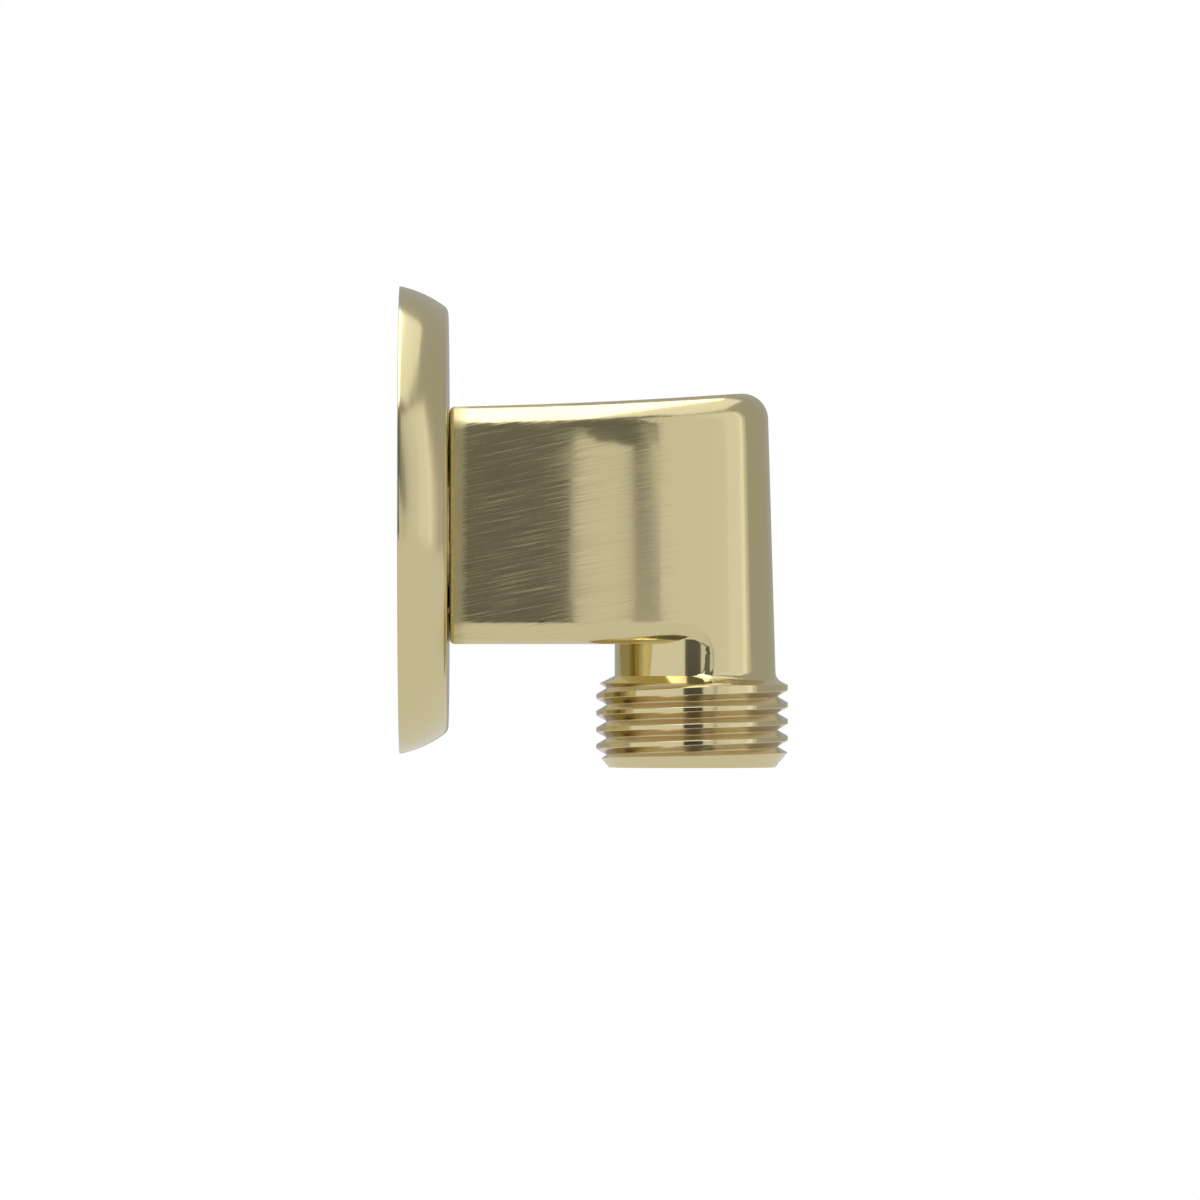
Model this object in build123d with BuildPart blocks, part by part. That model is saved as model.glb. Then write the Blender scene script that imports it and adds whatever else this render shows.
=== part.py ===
from build123d import *
import os
from math import radians, tan

# Wall outlet elbow for a shower hose: a cast brass elbow with a slip-on wall flange.
# The origin lies on the inlet axis in the plane of the wall.
# X runs out of the wall, Z is up and the outlet points down. Lengths are in millimetres.

# Wall flange, a dished round cover plate
flange_diameter = 50.8
flange_depth = 5.3
flange_wall = 1.2
flange_side_fall = 2.5
flange_side_bow = 12.4
flange_edge_radius = 0.9

# Elbow block, seen from above as a flat-sided shape that closes to a round nose
block_width = 25.2
block_top = 12.2
block_bottom = 13.45
block_top_rise = 3.2
block_top_sag = 0.37
block_draft = 1.65
flat_side_end = 11.0
top_edge_radius = 2.8
lower_edge_radius = 2.5
end_edge_radius = 0.6

# Outlet: the front of the block runs on down as a leg that covers the front half of a round neck
outlet_reach = 31.75
outlet_end = 26.85
stub_radius = 10.4
stub_length = 8.95
stub_shoulder = 1.0
stub_lead = 1.7
stub_lead_drop = 1.4
neck_relief = 2.0
neck_rise = 1.5
nose_offset = 0.8
leg_cover = 0.7
leg_setback = 0.85
leg_corner_radius = 1.1
leg_flare_radius = 1.2

# Inlet: a female pipe thread at its crest radius, in a spigot that passes through the flange
inlet_radius = 9.3
inlet_depth = 15.0
inlet_lead = 1.0
spigot_wall = 2.2
spigot_clearance = 0.1
spigot_recess = 0.8
shoulder_width = 0.5
seam_gap = 0.2

# Waterway through the casting
waterway_radius = 6.7
waterway_bend = 8.0

# How far an outline that trims a solid reaches past it
overshoot = 5.0

# Places worked out from the sizes above
flange_radius = flange_diameter / 2
flange_face_radius = flange_radius - flange_side_fall
spigot_radius = inlet_radius + spigot_wall
shoulder_radius = spigot_radius + shoulder_width
inlet_end = spigot_recess + inlet_depth
block_back = flange_depth + seam_gap
block_half = block_width / 2
stub_start = stub_length - outlet_end
neck_radius = stub_radius - neck_relief
neck_top = neck_rise - block_bottom
leg_start = outlet_reach - leg_setback
nose_reach = outlet_reach + nose_offset
nose_radius = neck_radius + leg_cover - nose_offset
front_end = nose_reach + nose_radius
trim_end = front_end + overshoot
trim_top = block_top + (trim_end - block_back) * tan(radians(block_top_rise))

# The long side arc leaves the flat tangentially and runs tangentially into the nose
side_run = nose_reach - flat_side_end
side_bow = (side_run**2 + block_half**2 - nose_radius**2) / (2 * (block_half - nose_radius))
bow_offset = side_bow - block_half
centre_distance = side_bow - nose_radius
nose_start_x = nose_reach + nose_radius * side_run / centre_distance
nose_start_y = nose_radius * bow_offset / centre_distance


# Elbow body: one brass casting, machined at the inlet and the outlet
with BuildPart() as elbow_body:
    with BuildSketch(Plane.XY.offset(stub_start)):
        with BuildLine():
            flat = Line((0, -block_half), (flat_side_end, -block_half))
            bow = TangentArc(flat @ 1, (nose_start_x, -nose_start_y), tangent=flat % 1)
            ThreePointArc(bow @ 1, (front_end, 0), (nose_start_x, nose_start_y))
            mirror(bow, about=Plane.XZ)
            mirror(flat, about=Plane.XZ)
            Line((0, block_half), (0, -block_half))
        make_face()
    extrude(amount=trim_top - stub_start, taper=block_draft)

    # The side view: a rising top, a flat underside and the leg at the front.
    # It keeps the near half, which is rounded first and mirrored afterwards.
    with BuildSketch(Plane.XZ) as side_view:
        with BuildLine():
            Polyline(
                (block_back, block_top),
                (block_back, -block_bottom),
                (leg_start, -block_bottom),
                (leg_start, stub_start),
                (trim_end, stub_start),
                (trim_end, trim_top),
            )
            SagittaArc((trim_end, trim_top), (block_back, block_top), block_top_sag)
        make_face()
        inner_corner = side_view.vertices().sort_by_distance((leg_start, 0, -block_bottom))[0]
        fillet(inner_corner, radius=leg_corner_radius)
    extrude(amount=block_width, mode=Mode.INTERSECT)

    # Rounded lower edge, from the flat side along the underside, round the inner corner and down the leg
    underside = elbow_body.faces().filter_by(Axis.Z).sort_by(Axis.Z)[1]
    fillet(underside.edges().filter_by(Axis.X).sort_by(Axis.Y)[0], radius=lower_edge_radius)

    # Rounded top edge, along the side and round the nose
    top_face = elbow_body.faces().sort_by(Axis.Z)[-1]
    fillet(top_face.edges().sort_by(Axis.Y)[0], radius=top_edge_radius)

    # Softened edge where the block meets the flange
    block_end = elbow_body.faces().filter_by(Axis.X).sort_by(Axis.X)[0]
    fillet(block_end.edges().sort_by(Axis.Y)[:-1], radius=end_edge_radius)
    mirror(about=Plane.XZ)

    # Turned neck and outlet stub, with a sloping shoulder and a lead at its end
    with BuildSketch(Plane.XZ):
        with BuildLine():
            Polyline(
                (outlet_reach, neck_top),
                (outlet_reach, -outlet_end),
                (outlet_reach + stub_radius - stub_lead_drop, -outlet_end),
                (outlet_reach + stub_radius, stub_lead - outlet_end),
                (outlet_reach + stub_radius, stub_start),
                (outlet_reach + neck_radius, stub_start + stub_shoulder),
                (outlet_reach + neck_radius, neck_top),
                (outlet_reach, neck_top),
            )
        make_face()
    revolve(axis=Axis((outlet_reach, 0, 0), (0, 0, 1)))

    # The leg's foot flares into the stub's shoulder
    shoulder_edges = elbow_body.edges().filter_by_position(Axis.Z, stub_start, stub_start + stub_shoulder)
    foot_edges = shoulder_edges.filter_by(GeomType.BSPLINE).sort_by(Axis.X)[-2:]
    fillet(foot_edges, radius=leg_flare_radius)

    # Shoulder that seats on the flange, and the spigot behind it
    with BuildSketch(Plane.YZ.offset(block_back)):
        Circle(shoulder_radius)
    extrude(amount=-seam_gap)
    with BuildSketch(Plane.YZ.offset(flange_depth)):
        Circle(spigot_radius)
    extrude(amount=spigot_recess - flange_depth)

    # Waterway: bored in from the inlet, round one bend and out through the stub
    with BuildLine() as water_path:
        FilletPolyline(
            (spigot_recess, 0, 0),
            (outlet_reach, 0, 0),
            (outlet_reach, 0, -outlet_end),
            radius=waterway_bend,
        )
    with BuildSketch(Plane.YZ.offset(spigot_recess)):
        Circle(waterway_radius)
    sweep(path=water_path.line, mode=Mode.SUBTRACT)

    # Inlet bore for the pipe thread, with a lead at its mouth
    with BuildSketch(Plane.XZ):
        with BuildLine():
            Polyline(
                (spigot_recess, 0),
                (inlet_end, 0),
                (inlet_end, inlet_radius),
                (spigot_recess + inlet_lead, inlet_radius),
                (spigot_recess, inlet_radius + inlet_lead),
                (spigot_recess, 0),
            )
        make_face()
    revolve(axis=Axis.X, mode=Mode.SUBTRACT)


# Wall flange: a drawn brass cover, hollow behind, with a hole for the spigot
with BuildPart() as wall_flange:
    with BuildSketch(Plane.XZ):
        with BuildLine():
            face_line = Polyline((0, 0), (flange_depth, 0), (flange_depth, flange_face_radius))
            RadiusArc(face_line @ 1, (0, flange_radius), -flange_side_bow)
            Line((0, flange_radius), (0, 0))
        make_face()
    revolve(axis=Axis.X)
    wall_side = wall_flange.faces().sort_by(Axis.X)[0]
    offset(amount=-flange_wall, openings=wall_side)
    face_edge = wall_flange.faces().sort_by(Axis.X)[-1].edges()
    fillet(face_edge, radius=flange_edge_radius)
    with BuildSketch(Plane.YZ):
        Circle(spigot_radius + spigot_clearance)
    extrude(amount=flange_depth, mode=Mode.SUBTRACT)


os.makedirs("parts", exist_ok=True)
elbow_body.part.label = "elbow_body"
export_step(elbow_body.part, "parts/elbow_body.step")
wall_flange.part.label = "wall_flange"
export_step(wall_flange.part, "parts/wall_flange.step")
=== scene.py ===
from math import asin, atan2, cos, pi, radians, sin, tan

import bmesh
import bpy
from mathutils import Matrix, Vector


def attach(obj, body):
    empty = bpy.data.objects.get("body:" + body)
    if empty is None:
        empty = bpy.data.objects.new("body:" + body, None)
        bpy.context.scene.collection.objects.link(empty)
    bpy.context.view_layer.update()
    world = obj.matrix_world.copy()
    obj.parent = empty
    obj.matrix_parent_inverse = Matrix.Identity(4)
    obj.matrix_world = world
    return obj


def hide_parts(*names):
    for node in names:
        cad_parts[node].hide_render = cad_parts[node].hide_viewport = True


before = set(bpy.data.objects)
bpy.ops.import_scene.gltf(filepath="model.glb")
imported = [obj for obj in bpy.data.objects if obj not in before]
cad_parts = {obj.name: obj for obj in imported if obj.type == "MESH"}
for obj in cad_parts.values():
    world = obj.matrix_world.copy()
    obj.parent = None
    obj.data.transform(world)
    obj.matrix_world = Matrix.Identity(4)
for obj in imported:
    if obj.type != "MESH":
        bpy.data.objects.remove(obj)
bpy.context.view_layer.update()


# Elbow body: a hollow brass casting with a bullet-shaped block, a leg and a turned neck. Its sides are
# polished and then brushed by hand along their length. The half-inch pipe threads are cut on a lathe:
# a male one on the outlet stub for the hose, and a female one in the back for the pipe in the wall.
MM = 0.001
thread_pitch = 1.814 * MM
thread_depth = 1.08 * MM
root_half_width = 0.05 * MM
root_rounding = 0.06 * MM
crest_half_gap = 0.72 * MM
crest_rounding = 0.11 * MM
tool_overrun = 0.8 * MM
tool_clearance = 0.01 * MM
run_out_pull = thread_depth + 0.05 * MM
run_out_turns = 165 / 360
steps_per_turn = 120

outlet_x = 31.75 * MM
outlet_crest = 10.4 * MM
outlet_groove_top = -17.32 * MM
outlet_turns = 5.8

inlet_crest = 9.3 * MM
inlet_groove_end = 13.9 * MM
inlet_turns = 8.2


def thread_cutter(name, crest, inward, turns):
    """A helical groove about the Z axis that starts at the origin's height and winds down.

    inward is 1 where the groove cuts towards the axis, and -1 where it cuts away from it.
    At the start the cutting edge is drawn back out of the metal, so the groove runs out there.
    """
    half_profile = (
        (tool_overrun, crest_half_gap),
        (tool_clearance, crest_half_gap),
        (-0.10 * crest_rounding, crest_half_gap - 0.30 * crest_rounding),
        (-0.30 * crest_rounding, crest_half_gap - 0.56 * crest_rounding),
        (-0.60 * crest_rounding, crest_half_gap - 0.80 * crest_rounding),
        (-crest_rounding, crest_half_gap - crest_rounding),
        (root_rounding - thread_depth, root_half_width + 0.5 * root_rounding),
        (-thread_depth, root_half_width - 0.5 * root_rounding),
    )
    groove = bmesh.new()
    lower = [groove.verts.new((crest + inward * out, 0, -half)) for out, half in half_profile]
    upper = [groove.verts.new((crest + inward * out, 0, half)) for out, half in reversed(half_profile)]
    section = groove.faces.new(lower + upper)
    bmesh.ops.spin(
        groove,
        geom=[section] + section.edges[:] + section.verts[:],
        cent=(0, 0, 0),
        axis=(0, 0, 1),
        dvec=(0, 0, -thread_pitch / steps_per_turn),
        angle=-2 * pi * turns,
        steps=round(turns * steps_per_turn),
        use_duplicate=False,
    )
    for vert in groove.verts:
        part_turn = -atan2(vert.co.y, vert.co.x) / (2 * pi)
        turn = round(-vert.co.z / thread_pitch - part_turn) + part_turn
        pull = run_out_pull * max(0, 1 - turn / run_out_turns)
        vert.co.xy += vert.co.xy.normalized() * inward * pull
    bmesh.ops.recalc_face_normals(groove, faces=groove.faces)
    mesh = bpy.data.meshes.new(name)
    groove.to_mesh(mesh)
    groove.free()
    return mesh


def cut_away(piece, tool_mesh):
    """Takes the tool's shape out of the piece for good."""
    tool = bpy.data.objects.new("cutting_tool", tool_mesh)
    bpy.context.scene.collection.objects.link(tool)
    cut = piece.modifiers.new("cut", "BOOLEAN")
    cut.operation = "DIFFERENCE"
    cut.solver = "EXACT"
    cut.material_mode = "TRANSFER"
    cut.object = tool
    bpy.context.view_layer.update()
    solved = piece.evaluated_get(bpy.context.evaluated_depsgraph_get())
    piece.data = bpy.data.meshes.new_from_object(solved)
    piece.modifiers.remove(cut)
    bpy.data.objects.remove(tool)


def linear(code):
    """A colour as sRGB hex, turned to the linear values that a shader takes."""
    parts = [int(code[i : i + 2], 16) / 255 for i in (1, 3, 5)]
    return [c / 12.92 if c <= 0.04045 else ((c + 0.055) / 1.055) ** 2.4 for c in parts] + [1.0]


def add_node(tree, kind, settings=(), inputs=()):
    """Adds a node, sets its properties, and gives its input sockets values or links."""
    node = tree.nodes.new(kind)
    for name, value in dict(settings).items():
        setattr(node, name, value)
    for name, value in dict(inputs).items():
        if isinstance(value, bpy.types.NodeSocket):
            tree.links.new(value, node.inputs[name])
        else:
            node.inputs[name].default_value = value
    return node


def new_material(name):
    """An empty material, and its node tree."""
    material = bpy.data.materials.new(name)
    material.use_nodes = True
    material.node_tree.nodes.clear()
    return material, material.node_tree


# Brushed brass: hand strokes along the sides leave fine lines that rise a little towards the nose. They are
# drawn wider than the real ones, so that they show. The polishing wheel softened the sides towards the top
# edge. The strokes stop short of the flange, where a narrow strip is duller, and fade where the side bows.
brass_colour = "#E2D5A6"
polished_gloss = 0.1
stroke_rise = radians(11)
stroke_length = 8 * MM
stroke_width = 0.18 * MM
stroke_depth = 0.006 * MM
stroke_strength = 0.14
stroke_contrast = (0.4, 0.68)
stroke_fade = (16 * MM, 23 * MM)
stroke_dullness = (0.33, 0.2)
dull_strip = (6.3 * MM, 7.8 * MM)
dull_strip_gloss = 0.28
top_edge_rise = radians(3.2)
top_softening = (6.4 * MM, 11.6 * MM)
top_softening_depth = 0.55 * MM
level_limit = 0.7
brushed_brass, tree = new_material("brushed_brass")
place = add_node(tree, "ShaderNodeTexCoord")
spot = add_node(tree, "ShaderNodeSeparateXYZ", inputs={"Vector": place.outputs["Object"]})
below_top = add_node(
    tree,
    "ShaderNodeMath",
    {"operation": "MULTIPLY_ADD"},
    {0: spot.outputs["X"], 1: -tan(top_edge_rise), 2: spot.outputs["Z"]},
)
soft_top = add_node(
    tree,
    "ShaderNodeMapRange",
    settings={"interpolation_type": "SMOOTHSTEP"},
    inputs={
        "Value": below_top.outputs[0],
        "From Min": top_softening[0],
        "From Max": top_softening[1],
        "To Min": 0.0,
        "To Max": -top_softening_depth,
    },
)
soft_edges = add_node(
    tree,
    "ShaderNodeBump",
    inputs={"Strength": 1.0, "Distance": 1.0, "Height": soft_top.outputs[0]},
)
stroke_way = (cos(stroke_rise), 0.0, sin(stroke_rise))
surface = add_node(tree, "ShaderNodeNewGeometry")
facing = add_node(tree, "ShaderNodeSeparateXYZ", inputs={"Vector": surface.outputs["Normal"]})
upright = add_node(tree, "ShaderNodeMath", {"operation": "ABSOLUTE"}, {0: facing.outputs["Z"]})
level = add_node(
    tree, "ShaderNodeMath", {"operation": "GREATER_THAN"}, {0: upright.outputs[0], 1: level_limit}
)

# Across the strokes: up on the sides and round the nose, and sideways on the top and the underside
across = add_node(
    tree,
    "ShaderNodeVectorMath",
    {"operation": "MULTIPLY_ADD"},
    {
        0: level.outputs[0],
        1: (sin(stroke_rise), 1.0, -cos(stroke_rise)),
        2: (-sin(stroke_rise), 0.0, cos(stroke_rise)),
    },
)
run_along = add_node(
    tree,
    "ShaderNodeVectorMath",
    {"operation": "DOT_PRODUCT"},
    {0: place.outputs["Object"], 1: stroke_way},
)
run_across = add_node(
    tree,
    "ShaderNodeVectorMath",
    {"operation": "DOT_PRODUCT"},
    {0: place.outputs["Object"], 1: across.outputs[0]},
)
stroke_place = add_node(
    tree,
    "ShaderNodeCombineXYZ",
    inputs={"X": run_along.outputs["Value"], "Y": run_across.outputs["Value"]},
)
strokes = add_node(
    tree,
    "ShaderNodeMapping",
    settings={"vector_type": "TEXTURE"},
    inputs={"Vector": stroke_place.outputs[0], "Scale": (stroke_length, stroke_width, 1.0)},
)
lines = add_node(
    tree,
    "ShaderNodeTexNoise",
    inputs={"Vector": strokes.outputs[0], "Scale": 1.0, "Detail": 3.0, "Roughness": 0.6},
)
line_depth = add_node(
    tree,
    "ShaderNodeBump",
    inputs={
        "Strength": stroke_strength,
        "Distance": stroke_depth,
        "Height": lines.outputs["Fac"],
        "Normal": soft_edges.outputs[0],
    },
)
line_dullness = add_node(
    tree,
    "ShaderNodeMapRange",
    inputs={
        "Value": spot.outputs["X"],
        "From Min": stroke_fade[0],
        "From Max": stroke_fade[1],
        "To Min": stroke_dullness[0],
        "To Max": stroke_dullness[1],
    },
)
line_gloss = add_node(
    tree,
    "ShaderNodeMapRange",
    inputs={
        "Value": lines.outputs["Fac"],
        "From Min": stroke_contrast[0],
        "From Max": stroke_contrast[1],
        "To Min": polished_gloss,
        "To Max": line_dullness.outputs[0],
    },
)
dull_gloss = add_node(
    tree,
    "ShaderNodeMapRange",
    settings={"interpolation_type": "SMOOTHSTEP"},
    inputs={
        "Value": spot.outputs["X"],
        "From Min": dull_strip[0],
        "From Max": dull_strip[1],
        "To Min": dull_strip_gloss,
        "To Max": 0.0,
    },
)
gloss = add_node(
    tree, "ShaderNodeMath", {"operation": "ADD"}, {0: line_gloss.outputs[0], 1: dull_gloss.outputs[0]}
)
brass = add_node(
    tree,
    "ShaderNodeBsdfPrincipled",
    inputs={
        "Base Color": linear(brass_colour),
        "Metallic": 1.0,
        "Roughness": gloss.outputs[0],
        "Anisotropic": 0.6,
        "Tangent": across.outputs[0],
        "Normal": line_depth.outputs[0],
    },
)
add_node(tree, "ShaderNodeOutputMaterial", inputs={"Surface": brass.outputs[0]})

# Turned brass: the neck, the foot, the thread's crests and the inlet come off the lathe nearly as bright
# as a mirror
turned_brass, tree = new_material("turned_brass")
brass = add_node(
    tree,
    "ShaderNodeBsdfPrincipled",
    inputs={"Base Color": linear(brass_colour), "Metallic": 1.0, "Roughness": polished_gloss},
)
add_node(tree, "ShaderNodeOutputMaterial", inputs={"Surface": brass.outputs[0]})

# Cut brass: the sides of the threads keep fine marks from the cutting tool, so they shine less.
# Their paler, less yellow colour is painted, not a change in the metal: it takes back the deeper gold
# that light bouncing between the flanks gives.
cut_colour = "#DFD2B1"
cut_gloss = 0.17
cut_brass, tree = new_material("cut_brass")
brass = add_node(
    tree,
    "ShaderNodeBsdfPrincipled",
    inputs={"Base Color": linear(cut_colour), "Metallic": 1.0, "Roughness": cut_gloss},
)
add_node(tree, "ShaderNodeOutputMaterial", inputs={"Surface": brass.outputs[0]})

# The casting: the turned faces are told apart by their place
merge_distance = 0.002 * MM
flat_angle = radians(0.2)
casting = bmesh.new()
casting.from_mesh(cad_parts["elbow_body"].data)
bmesh.ops.remove_doubles(casting, verts=casting.verts, dist=merge_distance)
bmesh.ops.dissolve_limit(casting, angle_limit=flat_angle, verts=casting.verts, edges=casting.edges)
neck_top = -11.9 * MM
neck_radius = 8.4 * MM
foot_top = -15.8 * MM
stub_top = -16.9 * MM
inlet_end = 15.8 * MM
spigot_radius = 11.5 * MM
near = 0.02 * MM


def round_inlet(verts):
    """Whether the points lie on the spigot or in the bore for the wall pipe."""
    return all(v.co.x < inlet_end + near and v.co.yz.length < spigot_radius + near for v in verts)


for face in casting.faces:
    middle = face.calc_center_median()
    on_neck = middle.z < neck_top and (middle.xy - Vector((outlet_x, 0))).length < neck_radius
    turned = on_neck or middle.z < foot_top or round_inlet(face.verts)
    face.material_index = 1 if turned else 0
elbow_mesh = bpy.data.meshes.new("elbow")
casting.to_mesh(elbow_mesh)
casting.free()
elbow_mesh.materials.append(brushed_brass)
elbow_mesh.materials.append(turned_brass)
elbow = bpy.data.objects.new("elbow", elbow_mesh)
bpy.context.scene.collection.objects.link(elbow)

outlet_groove = thread_cutter("outlet_groove", outlet_crest, 1, outlet_turns)
outlet_groove.transform(Matrix.Translation((outlet_x, 0, outlet_groove_top)))
outlet_groove.materials.append(cut_brass)
cut_away(elbow, outlet_groove)

inlet_groove = thread_cutter("inlet_groove", inlet_crest, -1, inlet_turns)
inlet_groove.transform(Matrix.Translation((inlet_groove_end, 0, 0)) @ Matrix.Rotation(pi / 2, 4, "Y"))
inlet_groove.materials.append(cut_brass)
cut_away(elbow, inlet_groove)

# The cone at the inlet's mouth is turned once more after the thread, so the groove runs out cleanly
mouth_x = 0.8 * MM
mouth_radius = 10.33 * MM
mouth_overrun = 0.5 * MM
mouth_depth = 1.1 * MM
mouth_steps = 240
mouth_cone = bmesh.new()
bmesh.ops.create_cone(
    mouth_cone,
    cap_ends=True,
    segments=mouth_steps,
    radius1=mouth_radius + mouth_overrun,
    radius2=mouth_radius - mouth_depth,
    depth=mouth_overrun + mouth_depth,
    matrix=Matrix.Rotation(pi / 2, 4, "Y"),
)
mouth_tool = bpy.data.meshes.new("mouth_cone")
mouth_cone.to_mesh(mouth_tool)
mouth_cone.free()
mouth_tool.transform(Matrix.Translation((mouth_x + (mouth_depth - mouth_overrun) / 2, 0, 0)))
mouth_tool.materials.append(turned_brass)
cut_away(elbow, mouth_tool)

edge_crease = radians(28)
thread_crease = radians(18)


def shade_metal(piece):
    """Smooth shading that breaks at real edges and keeps the large faces flat."""
    piece.data.shade_smooth()
    piece.data.set_sharp_from_angle(angle=edge_crease)
    weighted = piece.modifiers.new("even_shading", "WEIGHTED_NORMAL")
    weighted.mode = "FACE_AREA"
    weighted.weight = 50
    weighted.keep_sharp = True


shade_metal(elbow)
threaded = bmesh.new()
threaded.from_mesh(elbow.data)
for edge in threaded.edges:
    on_thread = edge.verts[0].co.z < stub_top or round_inlet(edge.verts)
    if on_thread and edge.calc_face_angle(0) > thread_crease:
        edge.smooth = False
threaded.to_mesh(elbow.data)
threaded.free()

facet_angle = radians(6)
run_in_angle = radians(34)


def turn_true(mesh, normals, centre, axis, profile):
    """Gives each face on a turned profile the normals of the true cone or cylinder.

    The profile's lines run between points that are given by their distances from and along the axis.
    Faces that run smoothly into a turned one take its normals where they meet it.
    """
    true_normals = {}
    others = []
    for face in mesh.polygons:
        spokes = [mesh.vertices[v].co - centre for v in face.vertices]
        outwards = [spoke - axis * spoke.dot(axis) for spoke in spokes]
        places = [Vector((out.length, spoke.dot(axis))) for out, spoke in zip(outwards, spokes)]
        for start, end in profile:
            slope = Vector(end) - Vector(start)
            facing = Vector((slope.y, -slope.x)).normalized()
            if any(abs((place - Vector(start)).dot(facing)) > near for place in places):
                continue
            exact = [out.normalized() * facing.x + axis * facing.y for out in outwards]
            if exact[0].dot(face.normal) < 0:
                exact = [-normal for normal in exact]
            if any(face.normal.angle(normal, 0) > facet_angle for normal in exact):
                continue
            for corner, vertex, normal in zip(face.loop_indices, face.vertices, exact):
                normals[corner] = normal
                true_normals.setdefault(vertex, []).append(normal)
            break
        else:
            others.append(face)
    for face in others:
        for corner, vertex in zip(face.loop_indices, face.vertices):
            for normal in true_normals.get(vertex, ()):
                if face.normal.angle(normal, pi) < run_in_angle:
                    normals[corner] = normal


# The outlet's neck, shoulder, crests and lead, then the inlet's spigot, mouth and crests
stub_start = -17.9 * MM
lead_start = -25.15 * MM
outlet_end = -26.85 * MM
outlet_end_radius = 9.0 * MM
outlet_lines = (
    ((neck_radius, neck_top), (neck_radius, stub_top)),
    ((neck_radius, stub_top), (outlet_crest, stub_start)),
    ((outlet_crest, stub_start), (outlet_crest, lead_start)),
    ((outlet_crest, lead_start), (outlet_end_radius, outlet_end)),
)
inlet_lines = (
    ((spigot_radius, mouth_x), (spigot_radius, inlet_end)),
    ((mouth_radius, mouth_x), (mouth_radius - mouth_depth, mouth_x + mouth_depth)),
    ((inlet_crest, mouth_x), (inlet_crest, inlet_end)),
)
bpy.context.view_layer.update()
shaded = elbow.evaluated_get(bpy.context.evaluated_depsgraph_get()).data
corner_normals = [corner.vector.copy() for corner in shaded.corner_normals]
turn_true(elbow.data, corner_normals, Vector((outlet_x, 0, 0)), Vector((0, 0, 1)), outlet_lines)
turn_true(elbow.data, corner_normals, Vector((0, 0, 0)), Vector((1, 0, 0)), inlet_lines)
elbow.modifiers.clear()
elbow.data.normals_split_custom_set(corner_normals)

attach(elbow, "root")
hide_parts("elbow_body")


# Wall flange: a round cover drawn from thin brass sheet, hollow behind, that slips over the spigot.
# Its bowed side is brushed on a lathe, so its lines run round it.
flange_radius = 25.4 * MM
flange_depth = 5.3 * MM
flange_wall = 1.2 * MM
flange_face_radius = 22.9 * MM
flange_side_bow = 12.4 * MM
flange_hole = 11.6 * MM
face_edge_bevel = 0.45 * MM
rim_bevel = 0.12 * MM
side_steps = 14
round_steps = 192

rim = Vector((0, 0, flange_radius))
face_edge = Vector((flange_depth, 0, flange_face_radius))
chord = face_edge - rim
bow_height = (flange_side_bow**2 - (chord.length / 2) ** 2) ** 0.5
bow_centre = (rim + face_edge) / 2 - Vector((-chord.z, 0, chord.x)).normalized() * bow_height
bow_angle = 2 * asin(chord.length / 2 / flange_side_bow)
inner_bow = flange_side_bow - flange_wall
back_x = flange_depth - flange_wall - bow_centre.x
back_corner = Vector((back_x, 0, (inner_bow**2 - back_x**2) ** 0.5)) + bow_centre
back_rim = Vector((-bow_centre.x, 0, (inner_bow**2 - bow_centre.x**2) ** 0.5)) + bow_centre
inner_angle = (back_corner - bow_centre).angle(back_rim - bow_centre)

cover = bmesh.new()
first = cover.verts.new(rim)
outer_arc = bmesh.ops.spin(
    cover,
    geom=[first],
    cent=bow_centre,
    axis=(0, 1, 0),
    angle=bow_angle,
    steps=side_steps,
    use_duplicate=False,
)
last = outer_arc["geom_last"][0]
for corner in (
    (flange_depth, 0, flange_hole),
    (flange_depth - flange_wall, 0, flange_hole),
    back_corner,
):
    step = bmesh.ops.extrude_vert_indiv(cover, verts=[last])
    last = step["verts"][0]
    last.co = corner
inner_arc = bmesh.ops.spin(
    cover,
    geom=[last],
    cent=bow_centre,
    axis=(0, 1, 0),
    angle=-inner_angle,
    steps=side_steps,
    use_duplicate=False,
)
cover.edges.new((inner_arc["geom_last"][0], first))
bmesh.ops.spin(
    cover,
    geom=cover.verts[:] + cover.edges[:],
    cent=(0, 0, 0),
    axis=(1, 0, 0),
    angle=2 * pi,
    steps=round_steps,
    use_merge=True,
    use_duplicate=False,
)
bmesh.ops.remove_doubles(cover, verts=cover.verts, dist=merge_distance)
bmesh.ops.recalc_face_normals(cover, faces=cover.faces)


def ring_edges(shell, x, radius):
    """The edges of the ring at that place along the axis and that distance from it."""
    return [
        edge
        for edge in shell.edges
        if all(abs(v.co.x - x) < near and abs(v.co.yz.length - radius) < near for v in edge.verts)
    ]


bmesh.ops.bevel(
    cover,
    geom=ring_edges(cover, flange_depth, flange_face_radius),
    offset=face_edge_bevel,
    offset_type="OFFSET",
    segments=6,
    profile=0.5,
    affect="EDGES",
    material=-1,
)
bmesh.ops.bevel(
    cover,
    geom=ring_edges(cover, 0, flange_radius),
    offset=rim_bevel,
    offset_type="OFFSET",
    segments=3,
    profile=0.5,
    affect="EDGES",
    material=-1,
)
flange_mesh = bpy.data.meshes.new("flange")
cover.to_mesh(flange_mesh)
cover.free()
flange = bpy.data.objects.new("flange", flange_mesh)
bpy.context.scene.collection.objects.link(flange)
shade_metal(flange)

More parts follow.
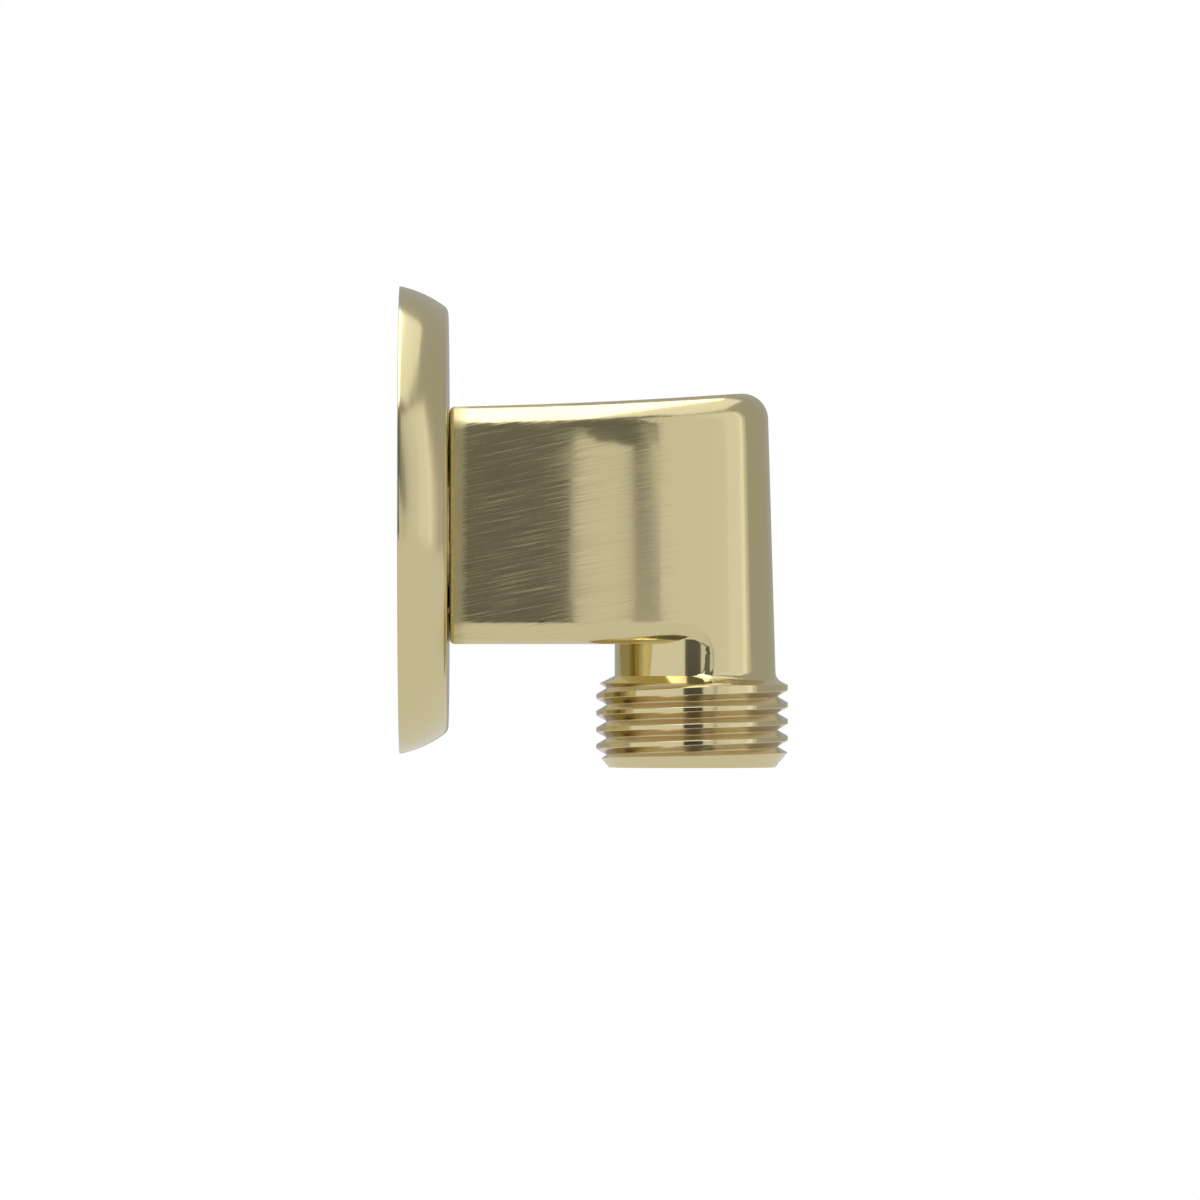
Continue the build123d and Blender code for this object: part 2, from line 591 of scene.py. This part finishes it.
# Lathe-brushed brass: fine rings run round the flange, drawn wider than the real ones so that they show,
# and polishing softened its front edge
ring_width = 0.25 * MM
ring_contrast = (0.3, 0.7)
ring_dullness = (0.13, 0.23)
front_softening = (2.2 * MM, 6.4 * MM)
front_softening_depth = 0.56 * MM
lathe_brass, tree = new_material("lathe_brushed_brass")
place = add_node(tree, "ShaderNodeTexCoord")
along = add_node(tree, "ShaderNodeSeparateXYZ", inputs={"Vector": place.outputs["Object"]})
outward = add_node(
    tree, "ShaderNodeCombineXYZ", inputs={"X": 0.0, "Y": along.outputs["Y"], "Z": along.outputs["Z"]}
)
outward_unit = add_node(
    tree, "ShaderNodeVectorMath", {"operation": "NORMALIZE"}, {0: outward.outputs[0]}
)
across = add_node(
    tree,
    "ShaderNodeVectorMath",
    {"operation": "SUBTRACT"},
    {0: (1.0, 0.0, 0.0), 1: outward_unit.outputs[0]},
)
from_axis = add_node(tree, "ShaderNodeVectorMath", {"operation": "LENGTH"}, {0: outward.outputs[0]})
ring_place = add_node(
    tree,
    "ShaderNodeMath",
    {"operation": "SUBTRACT"},
    {0: along.outputs["X"], 1: from_axis.outputs["Value"]},
)
ring_scale = add_node(
    tree, "ShaderNodeMath", {"operation": "DIVIDE"}, {0: ring_place.outputs[0], 1: ring_width}
)
ring_turn = add_node(tree, "ShaderNodeSeparateXYZ", inputs={"Vector": outward_unit.outputs[0]})
ring_vector = add_node(
    tree,
    "ShaderNodeCombineXYZ",
    inputs={"X": ring_scale.outputs[0], "Y": ring_turn.outputs["Y"], "Z": ring_turn.outputs["Z"]},
)
rings = add_node(
    tree,
    "ShaderNodeTexNoise",
    inputs={"Vector": ring_vector.outputs[0], "Scale": 1.5, "Detail": 3.0, "Roughness": 0.6},
)
soft_front = add_node(
    tree,
    "ShaderNodeMapRange",
    settings={"interpolation_type": "SMOOTHSTEP"},
    inputs={
        "Value": along.outputs["X"],
        "From Min": front_softening[0],
        "From Max": front_softening[1],
        "To Min": 0.0,
        "To Max": -front_softening_depth,
    },
)
soft_edge = add_node(
    tree,
    "ShaderNodeBump",
    inputs={"Strength": 1.0, "Distance": 1.0, "Height": soft_front.outputs[0]},
)
ring_gloss = add_node(
    tree,
    "ShaderNodeMapRange",
    inputs={
        "Value": rings.outputs["Fac"],
        "From Min": ring_contrast[0],
        "From Max": ring_contrast[1],
        "To Min": ring_dullness[0],
        "To Max": ring_dullness[1],
    },
)
brass = add_node(
    tree,
    "ShaderNodeBsdfPrincipled",
    inputs={
        "Base Color": linear(brass_colour),
        "Metallic": 1.0,
        "Roughness": ring_gloss.outputs[0],
        "Anisotropic": 0.45,
        "Tangent": across.outputs[0],
        "Normal": soft_edge.outputs[0],
    },
)
add_node(tree, "ShaderNodeOutputMaterial", inputs={"Surface": brass.outputs[0]})
flange.data.materials.append(lathe_brass)

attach(flange, "root")
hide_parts("wall_flange")


# Studio: a white floor in white surroundings, a large soft light above, and white and dark panels
# round the camera that show as the bands in the metal
view_centre = Vector((21.76, 0, -8.68)) * MM
view_distance = 2000 * MM
view_width = 130.25 * MM
sensor_width = 36.0

camera_data = bpy.data.cameras.new("camera")
camera_data.sensor_width = sensor_width
camera_data.lens = sensor_width * view_distance / view_width
camera_data.clip_start = 0.01
camera = bpy.data.objects.new("camera", camera_data)
camera.location = view_centre - Vector((0, view_distance, 0))
camera.rotation_euler = (pi / 2, 0, 0)
bpy.context.scene.collection.objects.link(camera)
bpy.context.scene.camera = camera

white = linear("#FFFFFF")


def glowing(name, strength):
    """Cloth or board that is lit evenly, so it shows in the metal as one plain tone."""
    material, tree = new_material(name)
    glow = add_node(tree, "ShaderNodeEmission", inputs={"Color": white, "Strength": strength})
    add_node(tree, "ShaderNodeOutputMaterial", inputs={"Surface": glow.outputs[0]})
    return material


def flat_sheet(name, across, along, height, strength):
    """A level glowing sheet over those ranges of X and Y, measured from the middle of the view."""
    level = bmesh.new()
    bmesh.ops.create_grid(level, x_segments=1, y_segments=1, size=1.0)
    bmesh.ops.scale(
        level, verts=level.verts, vec=((across[1] - across[0]) / 2, (along[1] - along[0]) / 2, 1)
    )
    middle = Vector((sum(across) / 2, sum(along) / 2, height))
    bmesh.ops.translate(level, verts=level.verts, vec=view_centre + middle)
    mesh = bpy.data.meshes.new(name)
    level.to_mesh(mesh)
    level.free()
    board = bpy.data.objects.new(name, mesh)
    board.data.materials.append(glowing(name, strength))
    bpy.context.scene.collection.objects.link(board)
    return board


floor = flat_sheet("white_floor", (-4, 4), (-4, 4), -0.10, 1.0)
floor.visible_glossy = False
for name, across, strength in (
    ("overhead_light", (-0.63, 0.2), 2.4),
    ("overhead_light_right", (0.2, 0.5), 1.0),
):
    overhead = flat_sheet(name, across, (-0.68, 0.65), 0.9, strength)
    overhead.visible_camera = False

world = bpy.data.worlds.new("studio")
bpy.context.scene.world = world
world.use_nodes = True
tree = world.node_tree
tree.nodes.clear()
path = add_node(tree, "ShaderNodeLightPath")
seen = add_node(tree, "ShaderNodeBackground", inputs={"Color": white, "Strength": 1.0})
around = add_node(tree, "ShaderNodeBackground", inputs={"Color": white, "Strength": 0.42})
both = add_node(
    tree,
    "ShaderNodeMixShader",
    inputs={0: path.outputs["Is Camera Ray"], 1: around.outputs[0], 2: seen.outputs[0]},
)
add_node(tree, "ShaderNodeOutputWorld", inputs={"Surface": both.outputs[0]})


def panel(name, turn, height, away, strength):
    """A curved panel round the object, over those ranges of degrees.

    turn runs from the camera's side towards +X, and height runs up from the level of the view's middle.
    """
    bent = bmesh.new()
    low = bent.verts.new((0, -away * cos(radians(height[0])), away * sin(radians(height[0]))))
    bmesh.ops.spin(
        bent,
        geom=[low],
        cent=(0, 0, 0),
        axis=(1, 0, 0),
        angle=radians(height[0] - height[1]),
        steps=12,
        use_duplicate=False,
    )
    bmesh.ops.rotate(
        bent, verts=bent.verts, cent=(0, 0, 0), matrix=Matrix.Rotation(radians(turn[0]), 3, "Z")
    )
    bmesh.ops.spin(
        bent,
        geom=bent.verts[:] + bent.edges[:],
        cent=(0, 0, 0),
        axis=(0, 0, 1),
        angle=radians(turn[1] - turn[0]),
        steps=16,
        use_duplicate=False,
    )
    bmesh.ops.translate(bent, verts=bent.verts, vec=view_centre)
    mesh = bpy.data.meshes.new(name)
    bent.to_mesh(mesh)
    bent.free()
    board = bpy.data.objects.new(name, mesh)
    board.data.materials.append(glowing(name, strength))
    board.visible_camera = False
    bpy.context.scene.collection.objects.link(board)


table_edge = -8
panel_distance = 0.96
panel("dark_backdrop", (-10, 42), (table_edge, 58), 1.00, 0.16)
panel("dark_gap", (-10, 13.4), (table_edge, -0.9), 0.95, 0.02)
panel("white_panel_left", (-80, -10), (table_edge, 45), panel_distance, 0.80)

# The near panel's top slopes down to the right
for turn, top in (((13.4, 16), 22), ((16, 19), 18), ((19, 22), 13), ((22, 24), 9.5), ((24, 26), 7)):
    panel("white_panel_near", turn, (table_edge, top), panel_distance, 0.72)
panel("grey_panel_near", (26, 30.3), (table_edge, 3.8), panel_distance, 0.5)
panel("white_panel_right", (30.3, 46), (table_edge, 50), panel_distance, 0.76)
panel("white_panel_right_bright", (46, 70), (table_edge, 50), panel_distance, 0.86)
panel("bright_strip_right", (70, 78), (table_edge, 45), panel_distance, 1.0)
panel("soft_strip_right", (78, 84), (table_edge, 45), panel_distance, 0.66)
panel("white_table", (-180, 180), (-89, table_edge), panel_distance, 0.72)

bpy.context.scene.view_settings.view_transform = "Standard"
